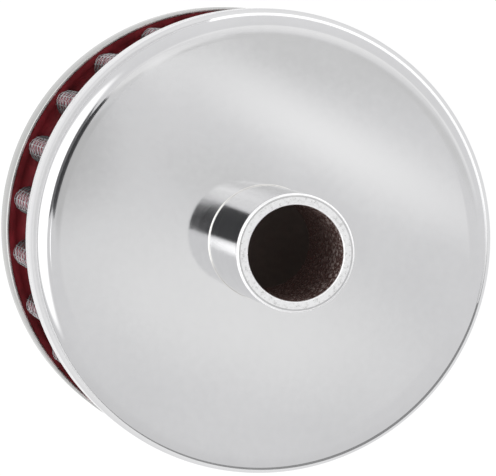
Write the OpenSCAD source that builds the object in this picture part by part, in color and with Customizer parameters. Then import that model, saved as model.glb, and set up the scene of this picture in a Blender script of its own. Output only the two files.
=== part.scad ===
// Push-in crankcase breather filter: two pressed steel caps, a plated neck and a pleated element.
// The part stands on its closed cap. Z runs up through the neck, and z = 0 is the closed face.

/* [Caps] */
// Outside diameter of both pressed caps
cap_d = 77; // [70:0.5:90]
// Thickness of the steel sheet
cap_t = 0.6; // [0.4:0.1:1]
// Straight part of a cap's skirt
skirt_h = 7.5; // [5:0.5:12]
// Outside radius of the pressed shoulder
shoulder_r = 3.3; // [2.5:0.1:4.5]
// Larger radius that eases the shoulder into the face
ease_r = 12; // [8:0.5:16]
// Slope of the sheet, in degrees, where the shoulder passes into the larger radius
ease_slope = 20; // [15:1:30]
// Radius of the shallow dome pressed into the base cap's face
dome_r = 1000; // [500:10:2000]
// Open height between the two skirt edges
window_h = 31.4; // [20:0.2:60]

/* [Neck] */
// Outside diameter of the neck
neck_d = 19; // [15:0.5:25]
// Wall of the neck
neck_wall = 1.85; // [1.2:0.05:2.5]
// How far the neck stands out of the base cap's face
neck_out = 29.5; // [15:0.5:45]
// How far the neck reaches in below the base cap's sheet
neck_in = 2; // [1:0.5:5]
// Rounding of the mouth's outer edge
mouth_r = 0.6; // [0.2:0.1:0.8]
// Rounding of the bore's edge at the mouth
bore_edge_r = 0.3; // [0.1:0.1:0.4]
// How much less radius the neck's spigot has, where it passes through the cap
spigot_cut = 0.3; // [0.2:0.05:0.6]
// Gap that the brazing metal fills between the spigot and the cap
braze_gap = 0.05; // [0.02:0.01:0.15]
// Height of the brazed ring round the neck's foot
braze_h = 0.2; // [0.1:0.05:0.6]
// How far the brazed ring spreads out over the cap
braze_w = 0.15; // [0.1:0.05:0.4]

/* [Pleats] */
// Number of pleats
pleat_count = 24; // [18:1:28]
// Radius of the circle on which the inner folds are centred
root_r = 21.8; // [20:0.2:24]
// Radius of the cotton's middle line round an outer fold
fold_r = 1.05; // [0.95:0.05:1.4]
// Thickness of the layered cotton gauze
media_t = 1.3; // [1:0.1:1.4]
// Space between the outermost wires and the inside of a skirt
crest_gap = 0.6; // [0.3:0.1:1.5]

/* [Wire screens] */
// Thickness of the screen between its wires
screen_t = 0.25; // [0.15:0.05:0.25]
// Height of a wire ridge over the cotton
wire_h = 0.5; // [0.4:0.05:0.6]
// Width of a wire ridge
wire_w = 0.5; // [0.3:0.05:0.8]
// Distance from one wire round the folds to the next
wire_pitch = 2.9; // [2.4:0.05:4]
// Width of an open mesh on a crest
mesh_w = 1.5; // [1:0.1:1.7]
// Open meshes on each crest
mesh_count = 5; // [1:1:5]

/* [End seals] */
// Depth of the sealant's surface below a skirt's edge
seal_recess = 1.6; // [0.5:0.1:4]
// Least sealant between a cap's face and the element's end
seal_floor = 1.2; // [0.5:0.1:2.5]
// Inside radius of both sealant rings
seal_in_r = 17.6; // [14:0.2:18.4]

/* [Hidden] */

chrome = [0.86, 0.87, 0.88];
wire_grey = [0.55, 0.56, 0.58];
cotton_red = [0.55, 0.07, 0.10];
sealant_red = [0.42, 0.08, 0.10];

cap_r = cap_d / 2;
neck_r = neck_d / 2;
bore_r = neck_r - neck_wall;
spigot_r = neck_r - spigot_cut;
hole_r = spigot_r + braze_gap;
fine = 96;
slack = 0.01;

// Centres of the arcs in a cap's section, with heights measured from its skirt's edge
shoulder_c = cap_r - shoulder_r;
ease_c = shoulder_c - (ease_r - shoulder_r) * sin(ease_slope);
ease_z = skirt_h - (ease_r - shoulder_r) * cos(ease_slope);
dome_z = ease_z - sqrt(pow(dome_r - ease_r, 2) - pow(ease_c, 2));
cap_depth = ease_z + ease_r;
closed_edge_z = cap_depth;
base_edge_z = closed_edge_z + window_h;
function dome_height(r) = dome_z + sqrt(pow(dome_r, 2) - pow(r, 2));
neck_foot_z = base_edge_z + dome_height(hole_r);
neck_top_z = neck_foot_z + neck_out;

// The element's folded section
half_pleat = 180 / pleat_count;
skin = media_t / 2 + screen_t;
crest_c = cap_r - cap_t - crest_gap - fold_r - media_t / 2 - wire_h;
wall_r = crest_c + fold_r + skin;
root_fold = root_r * sin(half_pleat) - fold_r;
crest_steps = 6;
root_steps = 4;

// The element's ends stay clear of the rounded inside of the caps, where the larger radius passes over its folds
ease_clear = 0.15;
ease_reach = max(0, wall_r + ease_clear - ease_c);
inner_ease = ease_r - cap_t;
inside_drop = ease_reach < inner_ease * sin(ease_slope)
    ? ease_r - sqrt(pow(inner_ease, 2) - pow(ease_reach, 2))
    : cap_depth - skirt_h - sqrt(max(0, pow(shoulder_r - cap_t, 2) - pow(wall_r + ease_clear - shoulder_c, 2)));
end_z = max(cap_t + seal_floor, inside_drop);
pack_z0 = end_z;
pack_z1 = base_edge_z + cap_depth - end_z;

// Rows of wires between the two sealant surfaces
rows_z0 = closed_edge_z - seal_recess;
rows_h = base_edge_z + seal_recess - rows_z0;
row_count = floor((rows_h - wire_w) / wire_pitch) + 1;
row_start = rows_z0 + (rows_h - (row_count - 1) * wire_pitch) / 2;

function polar(r, a) = [r * cos(a), r * sin(a)];

// Outer fold of one pleat, about its own crest line
function crest_arc(r, from, to, steps) =
    [for (i = [0 : steps]) [crest_c, 0] + polar(r, from + (to - from) * i / steps)];

// Inner fold between two pleats, about the line half way between them
function root_arc(r) =
    [for (i = [0 : root_steps])
        [root_r, 0] + polar(r, -90 - half_pleat - (180 - 2 * half_pleat) * i / root_steps)];

function turned(points, a) =
    [for (p = points) [p.x * cos(a) - p.y * sin(a), p.x * sin(a) + p.y * cos(a)]];

// Closed line that runs up and down every pleat, moved off the cotton's middle by side
function folded_line(side) =
    [for (k = [0 : pleat_count - 1])
        each concat(turned(crest_arc(fold_r + side, -90, 90, crest_steps), 2 * half_pleat * k),
                    turned(root_arc(root_fold - side), half_pleat * (2 * k + 1)))];

// Section of a folded layer that lies between two such lines
module folded_layer(from, to) {
    difference() {
        polygon(folded_line(to));
        polygon(folded_line(from));
    }
}

// Slice of a disc between two distances from the axis, which laps a little under the larger disc beside it
module disc_slice(x, z, r, from, to) {
    lap = 0.2;
    intersection() {
        translate([x, z]) circle(r, $fn = fine);
        translate([from - lap, 0]) square([to - from + lap, 2 * cap_depth]);
    }
}

// Skirt and shoulder of a pan, drawn smaller by inset; each arc runs smoothly into the next
module pan_walls(inset, ease_from) {
    ease_to = ease_c + (ease_r - inset) * sin(ease_slope);
    square([cap_r - inset, skirt_h]);
    disc_slice(shoulder_c, skirt_h, shoulder_r - inset, ease_to, cap_r);
    disc_slice(ease_c, ease_z, ease_r - inset, ease_from, ease_to);
}

function dome_edge(inset) = ease_c * (dome_r - inset) / (dome_r - ease_r);

module flat_pan(inset) {
    pan_walls(inset, ease_c);
    square([ease_c, cap_depth - inset]);
}

module domed_pan(inset) {
    pan_walls(inset, dome_edge(inset));
    intersection() {
        translate([0, dome_z]) circle(dome_r - inset, $fn = 1440);
        square([dome_edge(inset), 2 * cap_depth]);
    }
}

// The same pan with the dome as short cones, for what is cast against its inside
module cast_pan(inset) {
    steps = 8;
    edge = dome_edge(inset);
    pan_walls(inset, edge);
    polygon(concat([[0, 0], [edge, 0]],
                   [for (i = [steps : -1 : 0])
                       let (r = edge * i / steps) [r, dome_z + sqrt(pow(dome_r - inset, 2) - r * r)]]));
}

// The sheet's cut edge is rounded over
module rounded_edge() {
    translate([cap_r - cap_t / 2, cap_t / 2]) circle(cap_t / 2, $fn = fine);
}

module below_edge() {
    translate([-slack, -slack]) square([cap_d, cap_t / 2 + slack]);
}

module closed_cap() {
    color(chrome)
    translate([0, 0, closed_edge_z]) mirror([0, 0, 1])
    rotate_extrude($fn = fine) {
        difference() {
            flat_pan(0);
            flat_pan(cap_t);
            below_edge();
        }
        rounded_edge();
    }
}

module base_cap() {
    color(chrome)
    translate([0, 0, base_edge_z])
    rotate_extrude($fn = fine) {
        difference() {
            domed_pan(0);
            domed_pan(cap_t);
            below_edge();
            square([hole_r, 2 * cap_depth]);
        }
        rounded_edge();
    }
}

// What a rounding takes off a square corner that points up and out
module corner(r) {
    translate([-r, -r]) difference() {
        square(r + slack);
        circle(r, $fn = fine);
    }
}

// Turned down to a spigot below the braze, which seats it in the cap's hole
module neck_tube() {
    spigot_z = neck_foot_z - cap_t - neck_in;
    color(chrome)
    rotate_extrude($fn = fine)
    difference() {
        polygon([[bore_r, spigot_z], [spigot_r, spigot_z], [spigot_r, neck_foot_z],
                 [neck_r, neck_foot_z + braze_h], [neck_r, neck_top_z], [bore_r, neck_top_z]]);
        translate([neck_r, neck_top_z]) corner(mouth_r);
        translate([bore_r, neck_top_z]) mirror([1, 0]) corner(bore_edge_r);
    }
}

// Bright ring of brazing metal in the corner between the neck and the cap, which also fills the cap's hole
module neck_braze() {
    color(chrome)
    rotate_extrude($fn = fine)
    polygon([[spigot_r, neck_foot_z - cap_t], [hole_r, neck_foot_z - cap_t], [hole_r, neck_foot_z],
             [neck_r + braze_w, neck_foot_z], [neck_r, neck_foot_z + braze_h], [spigot_r, neck_foot_z]]);
}

module filter_media() {
    color(cotton_red)
    translate([0, 0, pack_z0]) linear_extrude(pack_z1 - pack_z0)
    folded_layer(-media_t / 2, media_t / 2);
}

module inner_screen() {
    color(wire_grey)
    translate([0, 0, pack_z0]) linear_extrude(pack_z1 - pack_z0)
    folded_layer(-skin, -media_t / 2);
}

// One wire's ridge over a crest
module crest_wire() {
    span = 60;
    steps = 3;
    inner = crest_arc(fold_r + media_t / 2 + screen_t / 2, span, -span, steps);
    outer = crest_arc(fold_r + media_t / 2 + wire_h, -span, span, steps);
    translate([0, 0, -wire_w / 2]) linear_extrude(wire_w) polygon(concat(outer, inner));
}

// Two wires that run along a crest, one on each side of the open meshes
module long_wires() {
    lean = 50;
    for (side = [-1, 1])
        translate([crest_c, 0, rows_z0]) rotate(side * lean)
        translate([fold_r + media_t / 2 + screen_t / 2, -wire_w / 2, 0])
        cube([wire_h - screen_t / 2 - 0.1, wire_w, rows_h]);
}

// Open meshes, every second space between the wires
module crest_meshes(first) {
    for (i = [0 : mesh_count - 1])
        translate([crest_c, -mesh_w / 2, row_start + (first + 2 * i) * wire_pitch + wire_w / 2])
        cube([fold_r + media_t, mesh_w, wire_pitch - wire_w]);
}

module outer_screen() {
    color(wire_grey) {
        difference() {
            translate([0, 0, pack_z0]) linear_extrude(pack_z1 - pack_z0)
            folded_layer(media_t / 2, skin);
            for (k = [0 : pleat_count - 1])
                rotate(2 * half_pleat * k) crest_meshes(1 + k % 2);
        }
        for (k = [0 : pleat_count - 1])
            rotate(2 * half_pleat * k) {
                long_wires();
                for (row = [0 : row_count - 1])
                    translate([0, 0, row_start + row * wire_pitch]) crest_wire();
            }
    }
}

// Room that the element's folded ends take up in a seal
module element_slot() {
    translate([0, 0, pack_z0]) linear_extrude(pack_z1 - pack_z0)
    folded_layer(-skin, skin);
}

module closed_seal() {
    color(sealant_red)
    difference() {
        translate([0, 0, closed_edge_z]) mirror([0, 0, 1]) rotate_extrude($fn = fine)
        intersection() {
            flat_pan(cap_t);
            translate([seal_in_r, seal_recess]) square([cap_r, cap_depth]);
        }
        element_slot();
    }
}

module base_seal() {
    color(sealant_red)
    difference() {
        translate([0, 0, base_edge_z]) rotate_extrude($fn = fine)
        intersection() {
            cast_pan(cap_t);
            translate([seal_in_r, seal_recess]) square([cap_r, 2 * cap_depth]);
        }
        element_slot();
    }
}

closed_cap();
closed_seal();
inner_screen();
filter_media();
outer_screen();
base_seal();
base_cap();
neck_tube();
neck_braze();
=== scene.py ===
import math

import bpy
from mathutils import Matrix, Vector


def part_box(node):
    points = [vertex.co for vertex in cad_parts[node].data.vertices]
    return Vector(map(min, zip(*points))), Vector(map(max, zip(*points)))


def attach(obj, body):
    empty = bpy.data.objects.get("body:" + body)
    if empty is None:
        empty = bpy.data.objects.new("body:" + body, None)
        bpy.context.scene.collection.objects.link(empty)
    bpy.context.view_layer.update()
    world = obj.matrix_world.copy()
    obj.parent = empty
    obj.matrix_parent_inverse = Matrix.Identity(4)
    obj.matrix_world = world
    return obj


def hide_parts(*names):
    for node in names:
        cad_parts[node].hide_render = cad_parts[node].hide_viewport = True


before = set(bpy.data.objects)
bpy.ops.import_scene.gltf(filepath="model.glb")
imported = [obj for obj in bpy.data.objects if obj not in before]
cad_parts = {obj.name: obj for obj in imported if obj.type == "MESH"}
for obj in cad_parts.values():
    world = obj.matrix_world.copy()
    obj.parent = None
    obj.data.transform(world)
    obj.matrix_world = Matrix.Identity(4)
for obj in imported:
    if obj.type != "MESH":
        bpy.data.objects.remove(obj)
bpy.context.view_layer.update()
bpy.ops.object.select_all(action="DESELECT")

# The camera hangs 0.75 m over the filter with a long lens, nearly in line with the neck.
# It is rolled far over, so the neck leans to the lower right of the picture.
picture_width = 496
film_width = 36
focal_pixels = 4469
nearest_seen = 0.01
camera_turn = math.radians(-11.1)
camera_rise = math.radians(80.42)
camera_roll = math.radians(109.5)
camera_distance = 0.747
aim = Vector((0.00005, -0.00113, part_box("base_cap")[0].z))

level_right = Vector((math.cos(camera_turn), math.sin(camera_turn), 0))
camera_back = Vector((math.sin(camera_turn) * math.cos(camera_rise),
                      -math.cos(camera_turn) * math.cos(camera_rise), math.sin(camera_rise)))
level_up = camera_back.cross(level_right)
camera_right = math.cos(camera_roll) * level_right + math.sin(camera_roll) * level_up
camera_up = camera_back.cross(camera_right)
bpy.ops.object.camera_add(location=aim + camera_distance * camera_back)
camera = bpy.context.object
camera.rotation_euler = Matrix((camera_right, camera_up, camera_back)).transposed().to_euler()
camera.data.sensor_width = film_width
camera.data.lens = film_width * focal_pixels / picture_width
camera.data.clip_start = nearest_seen
bpy.context.scene.camera = camera

# The filter stands on a white light table with a grey sheet and a bright paper sweep beside it, on a
# grey bench. All of it is scenery. The table's near edge is off the picture at the lower right.
camera_side = Vector((math.sin(camera_turn), -math.cos(camera_turn), 0))
across = Vector((0, 0, 1)).cross(camera_side)


def plain_paint(name, colour, glow=0.0):
    """Matt paint; glow is light that comes through it from below."""
    paint = bpy.data.materials.new(name)
    paint.use_nodes = True
    surface = paint.node_tree.nodes["Principled BSDF"]
    surface.inputs["Base Color"].default_value = (*colour, 1)
    surface.inputs["Roughness"].default_value = 0.85
    surface.inputs["Specular IOR Level"].default_value = 0.1
    surface.inputs["Emission Color"].default_value = (1, 1, 1, 1)
    surface.inputs["Emission Strength"].default_value = glow
    return paint


table_size = 1.8
table_edge = 0.15
table_z = -0.00005
edge_way = Matrix.Rotation(math.radians(150), 3, "Z") @ camera_side
table_middle = (table_edge - table_size / 2) * edge_way + Vector((0, 0, table_z))
bpy.ops.mesh.primitive_plane_add(size=table_size, location=table_middle,
                                 rotation=(0, 0, math.atan2(edge_way.y, edge_way.x)))
table = bpy.context.object
table.name = "light_table"
table.data.materials.append(plain_paint("table_white", (0.18, 0.18, 0.18), 0.88))

bench_r = 3.0
bench_z = -0.003
bpy.ops.mesh.primitive_circle_add(vertices=180, radius=bench_r, fill_type="NGON", location=(0, 0, bench_z))
bench = bpy.context.object
bench.name = "bench"
bench.data.materials.append(plain_paint("bench_grey", (0.34, 0.34, 0.34)))

sheet_size = 0.8
sheet_out = 0.51
sheet_z = -0.00003
bpy.ops.mesh.primitive_plane_add(size=sheet_size, location=sheet_out * camera_side + Vector((0, 0, sheet_z)),
                                 rotation=(0, 0, math.atan2(camera_side.y, camera_side.x)))
sheet = bpy.context.object
sheet.name = "grey_sheet"
sheet.data.materials.append(plain_paint("sheet_grey", (0.81, 0.81, 0.81)))

# The sweep lies flat away from the filter, bends up and ends in a low wall, and is spun part of the way
# round. Its glow falls from glow_start to glow_end as its direction turns towards across.
sweep_start = math.radians(-64)
sweep_turn = math.radians(113)
sweep_near = 0.24
sweep_flat = 0.6
sweep_bend = 0.06
bend_rise = 0.03
wall_rise = 0.115
sweep_z = -0.00002
fade_start, fade_end = -0.55, -0.02
glow_start, glow_end = 0.8, 0.1
sweep_way = Matrix.Rotation(sweep_start, 3, "Z") @ camera_side
bpy.ops.mesh.primitive_plane_add(size=0.01, location=(0, 0, 0))
sweep = bpy.context.object
sweep.name = "paper_sweep"
bpy.ops.object.mode_set(mode="EDIT")
bpy.ops.mesh.merge(type="CENTER")
bpy.ops.transform.translate(value=sweep_near * sweep_way + Vector((0, 0, sweep_z)))
for step in (sweep_flat * sweep_way,
             sweep_bend * sweep_way + Vector((0, 0, bend_rise)),
             Vector((0, 0, wall_rise))):
    bpy.ops.mesh.extrude_region_move(TRANSFORM_OT_translate={"value": step})
bpy.ops.mesh.select_all(action="SELECT")
bpy.ops.mesh.spin(steps=40, angle=sweep_turn, center=(0, 0, 0), axis=(0, 0, 1))
bpy.ops.object.mode_set(mode="OBJECT")
sweep.visible_diffuse = False
sweep_white = plain_paint("sweep_white", (0.80, 0.80, 0.80))
nodes, links = sweep_white.node_tree.nodes, sweep_white.node_tree.links
place_on = nodes.new("ShaderNodeTexCoord")
unit = nodes.new("ShaderNodeVectorMath")
unit.operation = "NORMALIZE"
share = nodes.new("ShaderNodeVectorMath")
share.operation = "DOT_PRODUCT"
share.inputs[1].default_value = across
fade = nodes.new("ShaderNodeMapRange")
fade.interpolation_type = "SMOOTHSTEP"
fade.inputs["From Min"].default_value = fade_end
fade.inputs["From Max"].default_value = fade_start
fade.inputs["To Min"].default_value = glow_end
fade.inputs["To Max"].default_value = glow_start
links.new(place_on.outputs["Object"], unit.inputs[0])
links.new(unit.outputs["Vector"], share.inputs[0])
links.new(share.outputs["Value"], fade.inputs["Value"])
links.new(fade.outputs["Result"], nodes["Principled BSDF"].inputs["Emission Strength"])
sweep.data.materials.append(sweep_white)

# The room is a plain pale studio, lighter on one side. A wide soft box stands at the camera's side, and
# pale and grey panels hang under the ceiling. Two dark cut-outs beside the camera, which the chrome
# mirrors, make its dark patches.
bpy.context.scene.view_settings.view_transform = "Standard"
room_light, room_dim = 0.97, 0.81
world = bpy.data.worlds.new("studio")
bpy.context.scene.world = world
world.use_nodes = True
nodes, links = world.node_tree.nodes, world.node_tree.links
way = nodes.new("ShaderNodeTexCoord")
side = nodes.new("ShaderNodeVectorMath")
side.operation = "DOT_PRODUCT"
side.inputs[1].default_value = across
room = nodes.new("ShaderNodeMapRange")
room.inputs["From Min"].default_value = -1
room.inputs["To Min"].default_value = room_light
room.inputs["To Max"].default_value = room_dim
links.new(way.outputs["Generated"], side.inputs[0])
links.new(side.outputs["Value"], room.inputs["Value"])
links.new(room.outputs["Result"], nodes["Background"].inputs["Strength"])
nodes["Background"].inputs["Color"].default_value = (1, 1, 1.01, 1)
part_top = Vector((0, 0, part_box("base_cap")[1].z))


def seen_at(lean, sideways, distance):
    """Place seen from the cap's face, in degrees off the zenith towards the camera's side and across it."""
    zenith = math.radians(math.hypot(lean, sideways))
    heading = math.atan2(sideways, lean)
    level = math.cos(heading) * camera_side + math.sin(heading) * across
    return part_top + distance * (math.sin(zenith) * level + math.cos(zenith) * Vector((0, 0, 1)))


def facing(place, turn):
    """Rotation that turns an object at place towards the cap, its upright side towards the camera's side."""
    away = (place - part_top).normalized()
    flat = Matrix.Rotation(turn, 3, away) @ camera_side.cross(away).normalized()
    return Matrix((flat, away.cross(flat), away)).transposed().to_euler()


place = seen_at(48, 42, 1.1)
bpy.ops.object.light_add(type="AREA", location=place, rotation=facing(place, 0))
soft_box = bpy.context.object
soft_box.name = "soft_box"
soft_box.data.shape = "ELLIPSE"
soft_box.data.size = 2.0
soft_box.data.size_y = 1.0
soft_box.data.energy = 9
soft_box.visible_glossy = False


def soft_panel(name, lean, sideways, distance, wide, high, turn, glow, core):
    """A panel whose glow is full in its core and fades out to its edges, so the chrome mirrors it as a soft
    cloud. wide and high are its spans in degrees as seen from the cap."""
    place = seen_at(lean, sideways, distance)
    bpy.ops.mesh.primitive_plane_add(size=2, location=place, rotation=facing(place, math.radians(turn)))
    panel = bpy.context.object
    panel.name = name
    half_wide, half_high = math.radians(wide / 2), math.radians(high / 2)
    panel.scale = (distance * math.tan(half_wide), distance * math.tan(half_high), 1)
    panel.visible_diffuse = False
    paint = bpy.data.materials.new(name)
    paint.use_nodes = True
    nodes, links = paint.node_tree.nodes, paint.node_tree.links
    nodes.clear()
    place_on = nodes.new("ShaderNodeTexCoord")
    reach = nodes.new("ShaderNodeVectorMath")
    reach.operation = "LENGTH"
    fade = nodes.new("ShaderNodeMapRange")
    fade.interpolation_type = "SMOOTHSTEP"
    fade.inputs["From Min"].default_value = 1
    fade.inputs["From Max"].default_value = core
    light = nodes.new("ShaderNodeEmission")
    light.inputs["Strength"].default_value = glow
    clear = nodes.new("ShaderNodeBsdfTransparent")
    both = nodes.new("ShaderNodeMixShader")
    out = nodes.new("ShaderNodeOutputMaterial")
    links.new(place_on.outputs["Object"], reach.inputs[0])
    links.new(reach.outputs["Value"], fade.inputs["Value"])
    links.new(fade.outputs["Result"], both.inputs[0])
    links.new(clear.outputs[0], both.inputs[1])
    links.new(light.outputs[0], both.inputs[2])
    links.new(both.outputs[0], out.inputs["Surface"])
    panel.data.materials.append(paint)


# Each row is a panel's name, lean, sideways, distance, wide, high, turn, glow and core.
for panel_row in (("soft_box_front", 57, 10, 1.1, 80, 64, 0, 1.75, 0.62),
                  ("camera_light", 10.8, 7.0, 0.85, 7, 5.5, 0, 1.9, 0.35),
                  ("ceiling_streak", -11, -4.4, 1.6, 3.9, 22, -9, 1.18, 0.0),
                  ("ceiling_glow", -9.5, 2.7, 1.62, 8, 20, 0, 1.02, 0.2),
                  ("ceiling_shade", -8.5, -1.4, 1.66, 3.2, 12, -8, 0.80, 0.0),
                  ("side_glow", -14, -21, 1.64, 20, 80, 12, 1.09, 0.3),
                  ("side_shade", -10, -9, 1.68, 8, 50, 8, 0.81, 0.3),
                  ("camera_streak", 0.2, -8.3, 1.5, 3.6, 18, -40, 1.14, 0.0),
                  ("camera_wing", 3, -9.5, 1.55, 7, 16, 0, 1.04, 0.5),
                  ("grey_panel", 2.6, -0.5, 1.7, 9.5, 15, 0, 0.66, 0.55)):
    soft_panel(*panel_row)

cut_out_distance = 0.9


def cut_out(name, outline, colour):
    """A flat dark shape beside the camera; outline is its corners' (lean, sideways) in degrees."""
    bpy.ops.mesh.primitive_circle_add(vertices=len(outline), radius=0.1, fill_type="NGON")
    shape = bpy.context.object
    shape.name = name
    for vertex, (lean, sideways) in zip(shape.data.vertices, outline):
        vertex.co = seen_at(lean, sideways, cut_out_distance)
    shape.data.materials.append(plain_paint(name, colour))


cut_out("dark_camera", ((6.4, 3.7), (16, 4.5), (16, -7.5), (11, -8.5), (6, -6.6), (6.4, -3)),
        (0.085, 0.085, 0.088))
cut_out("dark_figure",
        ((16, 4.5), (23, 7), (30, 9.5), (30.8, 0), (30.5, -8), (29, -15), (25, -11.5), (16, -7.5)),
        (0.26, 0.26, 0.265))

# The base cap is steel sheet, pressed into a pan with a round shoulder and plated with bright chrome.
# The shoulder is two tight arcs and eases into the face over a wide one. The face is a shallow dome
# with a hole for the neck, and the inside keeps a thin, dull plating.
cap_sheet = 0.0006
dome_r = 1.0
cap_steps = 240
face_steps = 24
rim_steps = 8
neck_overlap = 0.00025
edge_low, edge_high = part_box("base_cap")
cap_r = edge_high.x
base_edge_z = edge_low.z
neck_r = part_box("neck_tube")[1].x
hole_r = neck_r - neck_overlap
# Each arc of the shoulder: its radius, and how steep the sheet is at its end, from 1 upright to 0 flat.
cap_arcs = ((0.00345, 0.33), (0.0030, 0.12), (0.0195, 0.0))


def arc(centre, radius, start, end, steps):
    """Points (r, z) on an arc, in degrees from the r axis."""
    angles = [math.radians(start + (end - start) * i / steps) for i in range(steps + 1)]
    return [(centre[0] + radius * math.cos(a), centre[1] + radius * math.sin(a)) for a in angles]


def cap_section(inset, face_r, inner_r, steps):
    """Outline of a pan from the top of its skirt to a hole of inner_r, at z 0 where the shoulder starts.
    It is drawn smaller by inset, and face_r is the radius of the dome, or 0 for a flat face."""
    radius = cap_arcs[0][0]
    r, z, slope = cap_r - radius, 0.0, 1.0
    points = []
    for i, (radius, slope_end) in enumerate(cap_arcs):
        if i == len(cap_arcs) - 1 and face_r:
            slope_end = r / (face_r - radius)
        points += arc((r, z), radius - inset, 90 - math.degrees(math.asin(slope)),
                      90 - math.degrees(math.asin(slope_end)), steps)
        slope = slope_end
        if i < len(cap_arcs) - 1:
            step = radius - cap_arcs[i + 1][0]
            points.pop()
            r, z = r + step * slope, z + step * math.sqrt(1 - slope ** 2)
    start = points[-1][0]
    dome_z = z + (radius - face_r) * math.sqrt(1 - slope ** 2)
    flat_z = z + radius - inset
    for i in range(1, steps + 1):
        here = start + (inner_r - start) * i / steps
        points.append((here, dome_z + math.sqrt((face_r - inset) ** 2 - here ** 2) if face_r else flat_z))
    return points


def cap_outline(face_r, inner_r, steps):
    """Outside and inside of a pan, from the top of its skirt to its hole."""
    outside = cap_section(0, face_r, inner_r, steps)
    inside = cap_section(cap_sheet, face_r, inner_r, steps)
    return outside, inside


def spun(name, outline, steps):
    """A closed piece, drawn as an outline of (r, z) points and spun round the neck's axis."""
    r, z = outline[0]
    bpy.ops.mesh.primitive_plane_add(size=0.001, location=(0, 0, 0))
    piece = bpy.context.object
    piece.name = name
    piece.data.name = name
    bpy.ops.object.mode_set(mode="EDIT")
    bpy.ops.mesh.merge(type="CENTER")
    bpy.ops.transform.translate(value=(r, 0, z))
    for nr, nz in outline[1:] + outline[:1]:
        bpy.ops.mesh.extrude_region_move(TRANSFORM_OT_translate={"value": (nr - r, 0, nz - z)})
        r, z = nr, nz
    bpy.ops.mesh.select_all(action="SELECT")
    bpy.ops.mesh.remove_doubles(threshold=1e-7)
    bpy.ops.mesh.spin(steps=steps, angle=2 * math.pi, center=(0, 0, 0), axis=(0, 0, 1))
    bpy.ops.mesh.select_all(action="SELECT")
    bpy.ops.mesh.remove_doubles(threshold=1e-7)
    bpy.ops.mesh.normals_make_consistent(inside=False)
    bpy.ops.object.mode_set(mode="OBJECT")
    bpy.ops.object.shade_smooth_by_angle(angle=math.radians(50))
    piece.select_set(False)
    return piece


def grain_group():
    """Two sizes of soft noise on the piece's own coordinates, as a mask, a roughness and a height."""
    group = bpy.data.node_groups.new("surface_grain", "ShaderNodeTree")
    face = group.interface
    for socket, default in (("Broad Scale", 60.0), ("Fine Scale", 900.0), ("Low", 0.05), ("High", 0.2),
                            ("From", 0.3), ("To", 0.7)):
        face.new_socket(socket, in_out="INPUT", socket_type="NodeSocketFloat").default_value = default
    face.new_socket("Stretch", in_out="INPUT", socket_type="NodeSocketVector").default_value = (1, 1, 1)
    for socket in ("Mask", "Roughness", "Height"):
        face.new_socket(socket, in_out="OUTPUT", socket_type="NodeSocketFloat")
    nodes, links = group.nodes, group.links
    given = nodes.new("NodeGroupInput")
    made = nodes.new("NodeGroupOutput")
    place = nodes.new("ShaderNodeTexCoord")
    stretched = nodes.new("ShaderNodeVectorMath")
    stretched.operation = "MULTIPLY"
    broad = nodes.new("ShaderNodeTexNoise")
    broad.inputs["Detail"].default_value = 3
    fine = nodes.new("ShaderNodeTexNoise")
    fine.inputs["Detail"].default_value = 2
    fine_share = nodes.new("ShaderNodeMath")
    fine_share.operation = "MULTIPLY"
    fine_share.inputs[1].default_value = 0.3
    both = nodes.new("ShaderNodeMath")
    both.operation = "MULTIPLY_ADD"
    both.inputs[1].default_value = 0.7
    mask = nodes.new("ShaderNodeMapRange")
    spread = nodes.new("ShaderNodeMapRange")
    links.new(place.outputs["Object"], stretched.inputs[0])
    links.new(given.outputs["Stretch"], stretched.inputs[1])
    links.new(stretched.outputs[0], broad.inputs["Vector"])
    links.new(stretched.outputs[0], fine.inputs["Vector"])
    links.new(given.outputs["Broad Scale"], broad.inputs["Scale"])
    links.new(given.outputs["Fine Scale"], fine.inputs["Scale"])
    links.new(fine.outputs["Fac"], fine_share.inputs[0])
    links.new(broad.outputs["Fac"], both.inputs[0])
    links.new(fine_share.outputs[0], both.inputs[2])
    links.new(both.outputs[0], mask.inputs["Value"])
    links.new(given.outputs["From"], mask.inputs["From Min"])
    links.new(given.outputs["To"], mask.inputs["From Max"])
    links.new(mask.outputs["Result"], spread.inputs["Value"])
    links.new(given.outputs["Low"], spread.inputs["To Min"])
    links.new(given.outputs["High"], spread.inputs["To Max"])
    links.new(mask.outputs["Result"], made.inputs["Mask"])
    links.new(spread.outputs["Result"], made.inputs["Roughness"])
    links.new(fine.outputs["Fac"], made.inputs["Height"])
    return group


surface_grain = grain_group()


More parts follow.
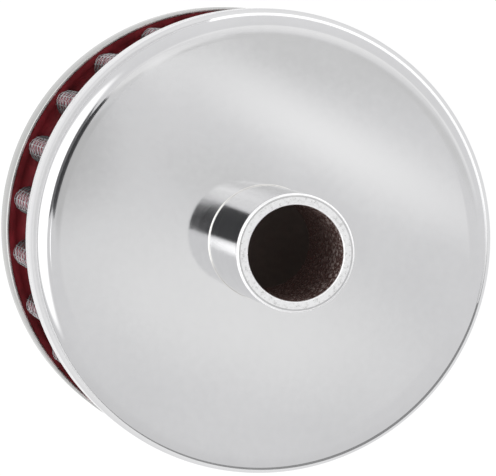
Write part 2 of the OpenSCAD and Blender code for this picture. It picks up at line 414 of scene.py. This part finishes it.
def finish_of(name, colour, shade, metallic, rough, scales, bump, depth, contrast=(0.3, 0.7),
              stretch=(1, 1, 1), tint=(1, 1, 1)):
    """A finish whose colour, roughness and fine relief follow the surface grain. It runs from shade to
    colour, rough is its lowest and highest roughness, and scales are those of the broad and fine noise."""
    paint = bpy.data.materials.new(name)
    paint.use_nodes = True
    nodes, links = paint.node_tree.nodes, paint.node_tree.links
    surface = nodes["Principled BSDF"]
    surface.inputs["Metallic"].default_value = metallic
    surface.inputs["Specular Tint"].default_value = (*tint, 1)
    grain = nodes.new("ShaderNodeGroup")
    grain.node_tree = surface_grain
    grain.inputs["Broad Scale"].default_value, grain.inputs["Fine Scale"].default_value = scales
    grain.inputs["Low"].default_value, grain.inputs["High"].default_value = rough
    grain.inputs["From"].default_value, grain.inputs["To"].default_value = contrast
    grain.inputs["Stretch"].default_value = stretch
    blend = nodes.new("ShaderNodeMix")
    blend.data_type = "RGBA"
    blend.inputs["A"].default_value = (*shade, 1)
    blend.inputs["B"].default_value = (*colour, 1)
    relief = nodes.new("ShaderNodeBump")
    relief.inputs["Strength"].default_value = bump
    relief.inputs["Distance"].default_value = depth
    links.new(grain.outputs["Mask"], blend.inputs["Factor"])
    links.new(grain.outputs["Roughness"], surface.inputs["Roughness"])
    links.new(grain.outputs["Height"], relief.inputs["Height"])
    links.new(blend.outputs["Result"], surface.inputs["Base Color"])
    links.new(relief.outputs["Normal"], surface.inputs["Normal"])
    return paint


def glow_inside(paint, colour):
    """A faint warm glow, which stands for the light that comes in through the red gauze."""
    surface = paint.node_tree.nodes["Principled BSDF"]
    surface.inputs["Emission Color"].default_value = (*colour, 1)
    surface.inputs["Emission Strength"].default_value = 0.009


cap_chrome = finish_of("cap_chrome", colour=(0.71, 0.71, 0.715), shade=(0.66, 0.66, 0.665), metallic=1.0,
                       rough=(0.03, 0.09), scales=(45, 700), bump=0.03, depth=0.00002,
                       tint=(0.86, 0.86, 0.87))
inside_plate = finish_of("inside_plate", colour=(0.55, 0.47, 0.44), shade=(0.35, 0.29, 0.27), metallic=1.0,
                         rough=(0.45, 0.6), scales=(120, 900), bump=0.1, depth=0.00005)
glow_inside(inside_plate, (1, 0.82, 0.72))


def plate_inside(cap, edge_z, up):
    """Give the pan's inside its own plating. up is 1 for a pan that opens downwards and -1 for the other.
    An inside face is past the skirt's edge at edge_z, and looks inwards or out of the pan."""
    cap.data.materials.append(inside_plate)
    for face in cap.data.polygons:
        centre, normal = face.center, face.normal
        inwards = normal.x * centre.x + normal.y * centre.y < -0.0001
        if up * (centre.z - edge_z) > cap_sheet and (inwards or up * normal.z < -0.1):
            face.material_index = 1


outside, inside = cap_outline(dome_r, hole_r, face_steps)
lift = edge_high.z - outside[-1][1]
outline = [(r, z + lift) for r, z in reversed(outside)]
outline += arc((cap_r - cap_sheet / 2, base_edge_z + cap_sheet / 2), cap_sheet / 2, 0, -180, rim_steps)
outline += [(r, z + lift) for r, z in inside]
base_cap = spun("base_cap_pressing", outline, cap_steps)
base_cap.data.materials.append(cap_chrome)
plate_inside(base_cap, base_edge_z, 1)
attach(base_cap, "root")
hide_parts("base_cap")

# The closed cap is a second pan from the same sheet, with a flat face and no hole. Its chrome is painted
# darker than the base cap's as painted shade, and is a little rougher. The sheet's cut edge is painted
# near-white on the side towards the gauze, as a painted highlight.
closed_face_steps = 20
middle_r = 0.0015
cut_depth = 0.00025
closed_edge_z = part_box("closed_cap")[1].z
# Painted shade: the base cap's chrome, made darker for this cap.
shaded_far_chrome = finish_of("shaded_far_chrome", colour=(0.57, 0.57, 0.565), shade=(0.52, 0.52, 0.51), metallic=1.0,
                       rough=(0.05, 0.14), scales=(90, 900), bump=0.05, depth=0.00002,
                       tint=(0.74, 0.74, 0.735))
# Painted highlight: the cut edge's near-white colour stands in for the light it mirrors.
cut_edge_highlight = finish_of("cut_edge_highlight", colour=(1.0, 0.98, 0.96), shade=(0.72, 0.66, 0.62), metallic=0.6,
                     rough=(0.25, 0.4), scales=(900, 2400), bump=0.3, depth=0.00005, contrast=(0.3, 0.5))
outside, inside = cap_outline(0, middle_r, closed_face_steps)
drop = outside[-1][1]
outline = [(0, 0)] + [(r, drop - z) for r, z in reversed(outside)]
outline += arc((cap_r - cap_sheet / 2, closed_edge_z - cap_sheet / 2), cap_sheet / 2, 0, 180, rim_steps)
outline += [(r, drop - z) for r, z in inside] + [(0, cap_sheet)]
closed_cap = spun("closed_cap_pressing", outline, cap_steps)
closed_cap.data.materials.append(shaded_far_chrome)
plate_inside(closed_cap, closed_edge_z, -1)
closed_cap.data.materials.append(cut_edge_highlight)
for face in closed_cap.data.polygons:
    r = math.hypot(face.center.x, face.center.y)
    if face.center.z > closed_edge_z - cut_depth and r < cap_r - cap_sheet / 2:
        face.material_index = 2
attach(closed_cap, "root")
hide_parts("closed_cap")

# The neck is a plain steel tube, plated outside, rounded and faced at its mouth, dull and grainy in its
# bore. Its foot is turned down to a slightly thinner spigot, which goes through the base cap's hole.
neck_wall = 0.00185
mouth_round = 0.0006
bore_round = 0.0003
spigot_step = 0.0003
foot_fillet = 0.0002
neck_steps = 160
wall_steps = 24
bore_steps = 16
neck_low, neck_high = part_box("neck_tube")
bore_r = neck_r - neck_wall
spigot_r = neck_r - spigot_step
foot_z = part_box("neck_braze")[1].z - foot_fillet
wall_low, wall_high = foot_z + foot_fillet, neck_high.z - mouth_round
bore_high = neck_high.z - bore_round
outline = [(spigot_r, neck_low.z), (spigot_r, foot_z)]
outline += [(neck_r, wall_low + (wall_high - wall_low) * i / wall_steps) for i in range(wall_steps)]
outline += arc((neck_r - mouth_round, wall_high), mouth_round, 0, 90, 10)
outline += arc((bore_r + bore_round, bore_high), bore_round, 90, 180, 6)
outline += [(bore_r, bore_high + (neck_low.z - bore_high) * i / bore_steps)
            for i in range(1, bore_steps + 1)]
neck = spun("neck_plated_tube", outline, neck_steps)
neck_chrome = finish_of("neck_chrome", colour=(0.89, 0.89, 0.90), shade=(0.78, 0.78, 0.79), metallic=1.0,
                        rough=(0.03, 0.08), scales=(700, 3500), bump=0.35, depth=0.00002,
                        stretch=(0.12, 0.12, 1))
bore_steel = finish_of("bore_steel", colour=(0.80, 0.72, 0.68), shade=(0.15, 0.09, 0.08), metallic=0.3,
                       rough=(0.25, 0.55), scales=(1900, 5600), bump=0.8, depth=0.0002,
                       contrast=(0.5, 0.68), stretch=(1, 1, 0.45))
glow_inside(bore_steel, (1, 0.56, 0.5))
mouth_steel = finish_of("mouth_steel", colour=(0.88, 0.88, 0.88), shade=(0.62, 0.62, 0.61), metallic=0.9,
                        rough=(0.2, 0.4), scales=(1500, 5200), bump=0.6, depth=0.00015,
                        contrast=(0.3, 0.5))
# Painted highlight: the rounding's near-white colour stands in for the light it mirrors.
mouth_edge_highlight = finish_of("mouth_edge_highlight", colour=(1.0, 1.0, 1.0), shade=(0.94, 0.94, 0.94), metallic=0.6,
                       rough=(0.25, 0.4), scales=(500, 2600), bump=0.2, depth=0.00005)
# Painted shade: a darker line where the mouth turns over.
mouth_shade_line = finish_of("mouth_shade_line", colour=(0.62, 0.62, 0.62), shade=(0.50, 0.50, 0.50), metallic=0.9,
                       rough=(0.3, 0.4), scales=(900, 2600), bump=0.2, depth=0.00005)
for paint in (neck_chrome, bore_steel, mouth_steel, mouth_edge_highlight, mouth_shade_line):
    neck.data.materials.append(paint)

# The mouth is a grainy flat face, a thin line of painted shade where it turns over, and a rounding on both
# sides painted near-white as a painted highlight. The small lengths below pick the faces of each by their
# height and radius.
bore_skin = 0.00001
flat_depth = 0.00002
flat_over = 0.00004
line_depth = 0.00006
for face in neck.data.polygons:
    r = math.hypot(face.center.x, face.center.y)
    if r < bore_r + bore_skin:
        face.material_index = 1
    elif face.center.z > neck_high.z - flat_depth and r < neck_r - mouth_round + flat_over:
        face.material_index = 2
    elif face.center.z > neck_high.z - line_depth and r > bore_r + neck_wall / 2:
        face.material_index = 4
    elif face.center.z > neck_high.z - mouth_round:
        face.material_index = 3
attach(neck, "root")
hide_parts("neck_tube")

# The neck is brazed to the cap. The metal fills the hole round the spigot, runs under the tube's shoulder
# and stands round the foot as a thin bright ring with a hollow face.
toe_share = 0.7
toe_angle = 252
outline = [(spigot_r, foot_z - cap_sheet), (hole_r, foot_z - cap_sheet), (hole_r, foot_z),
           (neck_r + toe_share * foot_fillet, foot_z)]
outline += arc((neck_r + foot_fillet, foot_z + foot_fillet), foot_fillet, toe_angle, 180, 6)
outline += [(spigot_r, foot_z)]
braze = spun("neck_braze_ring", outline, neck_steps)
braze_metal = finish_of("braze_metal", colour=(0.92, 0.91, 0.89), shade=(0.80, 0.79, 0.76), metallic=1.0,
                        rough=(0.12, 0.26), scales=(400, 2200), bump=0.3, depth=0.00005)
braze.data.materials.append(braze_metal)
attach(braze, "root")
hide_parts("neck_braze")

# The gauze is layers of coarse red cotton, oiled, and folded with both screens into pleats round the axis.
# Its ends are cast into the sealant of the two caps. Its colour is painted darker down the folds as painted
# shade, full on the crests.
pleat_count = 24
half_pleat = math.pi / pleat_count
root_r = 0.0218
fold_r = 0.00139
gauze = 0.0013
wire_room = 0.00016
crest_gap = 0.0006
gauze_steps = 44
height_steps = 6
crest_c = cap_r - cap_sheet - crest_gap - fold_r - gauze / 2 - wire_room
root_fold = root_r * math.sin(half_pleat) - fold_r
pack_low, pack_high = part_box("filter_media")[0].z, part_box("filter_media")[1].z


def pleat_point(s, side):
    """A pleat's point and outward normal at share s of its length, moved off the gauze's middle by side."""
    crest = math.pi / 2 * (fold_r + side)
    flank = crest_c - root_r * math.cos(half_pleat)
    root = (math.pi / 2 - half_pleat) * (root_fold - side)
    along = (s - 0.5) * 2 * (crest + flank + root)
    sign = -1 if along < 0 else 1
    d = abs(along)
    if d < crest:
        a = d / (fold_r + side)
        x, y = crest_c + (fold_r + side) * math.cos(a), (fold_r + side) * math.sin(a)
        nx, ny = math.cos(a), math.sin(a)
    elif d < crest + flank:
        x, y, nx, ny = crest_c - (d - crest), fold_r + side, 0, 1
    else:
        a = (d - crest - flank) / (root_fold - side)
        cx, cy = root_r * math.cos(half_pleat), root_r * math.sin(half_pleat)
        x, y = cx - (root_fold - side) * math.sin(a), cy - (root_fold - side) * math.cos(a)
        nx, ny = math.sin(a), math.cos(a)
    return Vector((x, sign * y, 0)), Vector((nx, sign * ny, 0))


def painted_fold_shade_group():
    """Painted shade: a colour that is full beyond the radius High and falls to a Shade of itself at the
    radius Low.
    """
    group = bpy.data.node_groups.new("painted_fold_shade", "ShaderNodeTree")
    face = group.interface
    face.new_socket("Colour", in_out="INPUT", socket_type="NodeSocketColor")
    for socket in ("Low", "High", "Shade"):
        face.new_socket(socket, in_out="INPUT", socket_type="NodeSocketFloat")
    face.new_socket("Colour", in_out="OUTPUT", socket_type="NodeSocketColor")
    nodes, links = group.nodes, group.links
    given = nodes.new("NodeGroupInput")
    made = nodes.new("NodeGroupOutput")
    place = nodes.new("ShaderNodeTexCoord")
    level = nodes.new("ShaderNodeVectorMath")
    level.operation = "MULTIPLY"
    level.inputs[1].default_value = (1, 1, 0)
    radius = nodes.new("ShaderNodeVectorMath")
    radius.operation = "LENGTH"
    share = nodes.new("ShaderNodeMapRange")
    share.interpolation_type = "SMOOTHSTEP"
    shaded = nodes.new("ShaderNodeVectorMath")
    shaded.operation = "SCALE"
    links.new(place.outputs["Object"], level.inputs[0])
    links.new(level.outputs[0], radius.inputs[0])
    links.new(radius.outputs["Value"], share.inputs["Value"])
    links.new(given.outputs["Low"], share.inputs["From Min"])
    links.new(given.outputs["High"], share.inputs["From Max"])
    links.new(given.outputs["Shade"], share.inputs["To Min"])
    links.new(given.outputs["Colour"], shaded.inputs[0])
    links.new(share.outputs["Result"], shaded.inputs["Scale"])
    links.new(shaded.outputs[0], made.inputs["Colour"])
    return group


painted_fold_shade = painted_fold_shade_group()


def paint_shade_in_folds(paint, proud, shade):
    """Put painted shade into a finish down the folds; proud is how far its crests stand out from the gauze's
    middle.
    """
    nodes, links = paint.node_tree.nodes, paint.node_tree.links
    colour = nodes["Principled BSDF"].inputs["Base Color"]
    darker = nodes.new("ShaderNodeGroup")
    darker.node_tree = painted_fold_shade
    darker.inputs["Low"].default_value = crest_c + fold_r
    darker.inputs["High"].default_value = crest_c + fold_r + proud
    darker.inputs["Shade"].default_value = shade
    links.new(colour.links[0].from_socket, darker.inputs["Colour"])
    links.new(darker.outputs["Colour"], colour)


bpy.ops.mesh.primitive_plane_add(size=0.001, location=(0, 0, 0))
media = bpy.context.object
media.name = "red_cotton_gauze"
bpy.ops.object.mode_set(mode="EDIT")
bpy.ops.mesh.merge(type="CENTER")
last = pleat_point(0, 0)[0]
bpy.ops.transform.translate(value=(last.x, last.y, pack_low))
for i in range(1, gauze_steps + 1):
    here = pleat_point(i / gauze_steps, 0)[0]
    bpy.ops.mesh.extrude_region_move(TRANSFORM_OT_translate={"value": here - last})
    last = here
bpy.ops.mesh.select_all(action="SELECT")
bpy.ops.mesh.spin(steps=pleat_count, angle=2 * math.pi, center=(0, 0, 0), axis=(0, 0, 1), dupli=True)
bpy.ops.mesh.select_all(action="SELECT")
bpy.ops.mesh.remove_doubles(threshold=1e-6)
rise = (0, 0, (pack_high - pack_low) / height_steps)
for i in range(height_steps):
    bpy.ops.mesh.extrude_region_move(TRANSFORM_OT_translate={"value": rise})
bpy.ops.mesh.select_all(action="SELECT")
bpy.ops.mesh.normals_make_consistent(inside=False)
bpy.ops.object.mode_set(mode="OBJECT")
wall = media.modifiers.new("layers", "SOLIDIFY")
wall.thickness = gauze
wall.offset = 0
bpy.ops.object.modifier_apply(modifier=wall.name)
bpy.ops.object.shade_smooth_by_angle(angle=math.radians(50))
media.select_set(False)
cotton = finish_of("red_cotton", colour=(0.50, 0.10, 0.15), shade=(0.22, 0.03, 0.055), metallic=0.0,
                   rough=(0.75, 0.95), scales=(1400, 5200), bump=0.9, depth=0.0003)
# The cotton is painted darker down the folds, as painted shade.
paint_shade_in_folds(cotton, gauze / 2, 0.15)
nodes, links = cotton.node_tree.nodes, cotton.node_tree.links
light_through = nodes.new("ShaderNodeBsdfTranslucent")
light_through.inputs["Color"].default_value = (0.85, 0.20, 0.19, 1)
thin = nodes.new("ShaderNodeMixShader")
thin.inputs["Fac"].default_value = 0.4
links.new(nodes["Principled BSDF"].outputs[0], thin.inputs[1])
links.new(light_through.outputs[0], thin.inputs[2])
links.new(thin.outputs[0], nodes["Material Output"].inputs["Surface"])
media.data.materials.append(cotton)
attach(media, "root")
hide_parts("filter_media")

# Both screens are woven from thin aluminium wire and folded with the gauze, one on each side of it. Hoop
# wires follow the folds round, and upright wires run between the caps; each passes over and under the other.
wire_r = 0.00008
outer_side = gauze / 2 + 2 * wire_r
hoop_pitch = 0.0021
screen_depth = 0.0024
outer_uprights_each = 22
inner_uprights_each = 20
screen_low, screen_high = closed_edge_z - screen_depth, base_edge_z + screen_depth
hoop_rows = int((screen_high - screen_low) / hoop_pitch) + 1
screen_middle = (screen_low + screen_high) / 2
hoop_z = [screen_middle + (row - (hoop_rows - 1) / 2) * hoop_pitch for row in range(hoop_rows)]


def wires(name, lines, closed):
    """Round wires along lists of points, as one mesh."""
    curve = bpy.data.curves.new(name, "CURVE")
    curve.dimensions = "3D"
    curve.bevel_depth = wire_r
    curve.bevel_resolution = 0
    curve.use_fill_caps = not closed
    for line in lines:
        spline = curve.splines.new("POLY")
        spline.points.add(len(line) - 1)
        spline.use_cyclic_u = closed
        for point, place in zip(spline.points, line):
            point.co = (*place, 1)
    piece = bpy.data.objects.new(name, curve)
    bpy.context.collection.objects.link(piece)
    bpy.context.view_layer.objects.active = piece
    piece.select_set(True)
    bpy.ops.object.convert(target="MESH")
    bpy.ops.object.mode_set(mode="EDIT")
    bpy.ops.mesh.select_all(action="SELECT")
    bpy.ops.mesh.normals_make_consistent(inside=False)
    bpy.ops.object.mode_set(mode="OBJECT")
    bpy.ops.object.shade_smooth()
    piece.select_set(False)
    return piece


def hoop_lines(side, per_pleat, points_each):
    """Closed hoop wires, wavy over and under the uprights."""
    lines = []
    for row, z in enumerate(hoop_z):
        line = []
        for k in range(pleat_count):
            turn = Matrix.Rotation(2 * half_pleat * k, 3, "Z")
            for i in range(per_pleat * points_each):
                s = i / (per_pleat * points_each)
                wave = wire_r * math.cos(math.pi * (i / points_each + row))
                place, out = pleat_point(s, side)
                line.append(turn @ (place + out * wave) + Vector((0, 0, z)))
        lines.append(line)
    return lines


def upright_lines(side, per_pleat):
    """Upright wires, wavy under and over the hoops."""
    lines = []
    for k in range(pleat_count):
        turn = Matrix.Rotation(2 * half_pleat * k, 3, "Z")
        for i in range(per_pleat):
            place, out = pleat_point(i / per_pleat, side)
            line = [turn @ (place - out * wire_r * math.cos(math.pi * (i + row))) + Vector((0, 0, z))
                    for row, z in enumerate(hoop_z)]
            lines.append(line)
    return lines


screen_wire = finish_of("screen_wire", colour=(0.60, 0.59, 0.60), shade=(0.20, 0.19, 0.20), metallic=0.55,
                        rough=(0.28, 0.45), scales=(900, 3000), bump=0.2, depth=0.00005,
                        contrast=(0.35, 0.62))
# The wires get the same painted shade down the folds.
paint_shade_in_folds(screen_wire, outer_side, 0.25)
outer_hoops = wires("outer_screen_hoop_wires", hoop_lines(outer_side, outer_uprights_each, 2), True)
outer_uprights = wires("outer_screen_upright_wires", upright_lines(outer_side, outer_uprights_each), False)
inner_hoops = wires("inner_screen_hoop_wires", hoop_lines(-outer_side, inner_uprights_each, 1), True)
inner_uprights = wires("inner_screen_upright_wires", upright_lines(-outer_side, inner_uprights_each), False)
for piece, node in ((outer_hoops, "outer_screen"), (outer_uprights, "outer_screen"),
                    (inner_hoops, "inner_screen"), (inner_uprights, "inner_screen")):
    piece.data.materials.append(screen_wire)
    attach(piece, "root")
    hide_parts(node)

# The sealant is dark red urethane, poured into each cap round the pleats' ends and left with a smooth top.
# It stands a little below the skirt's edge and creeps up the skirt's inside in a hollow curve.
seal_in_r = 0.0176
seal_recess = 0.0012
seal_fit = 0.00003
seal_lip = 0.0004
creep = 0.0009
creep_bend = 3 * creep
creep_angle = 50
seal_steps = 144
seal_face_steps = 8
seal_wall = cap_r - cap_sheet - seal_fit
sealant = finish_of("red_sealant", colour=(0.31, 0.025, 0.036), shade=(0.12, 0.018, 0.02), metallic=0.0,
                    rough=(0.3, 0.48), scales=(210, 900), bump=0.1, depth=0.00006)
top = closed_edge_z - seal_recess
outline = [(r, drop - z)
           for r, z in reversed(cap_section(cap_sheet + seal_fit, 0, seal_in_r, seal_face_steps))]
outline += [(seal_wall, top + creep)]
outline += arc((seal_wall - creep_bend, top + creep_bend), creep_bend, -creep_angle, -90, 6)
outline += [(seal_in_r + seal_lip, top), (seal_in_r, top - seal_lip)]
closed_seal = spun("closed_cap_sealant", outline, seal_steps)

under = base_edge_z + seal_recess
outline = [(seal_in_r, under + seal_lip), (seal_in_r + seal_lip, under)]
outline += arc((seal_wall - creep_bend, under - creep_bend), creep_bend, 90, creep_angle, 6)
outline += [(seal_wall, under - creep)]
outline += [(r, z + lift) for r, z in cap_section(cap_sheet + seal_fit, dome_r, seal_in_r, seal_face_steps)]
base_seal = spun("base_cap_sealant", outline, seal_steps)
for piece, node in ((closed_seal, "closed_seal"), (base_seal, "base_seal")):
    piece.data.materials.append(sealant)
    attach(piece, "root")
    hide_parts(node)
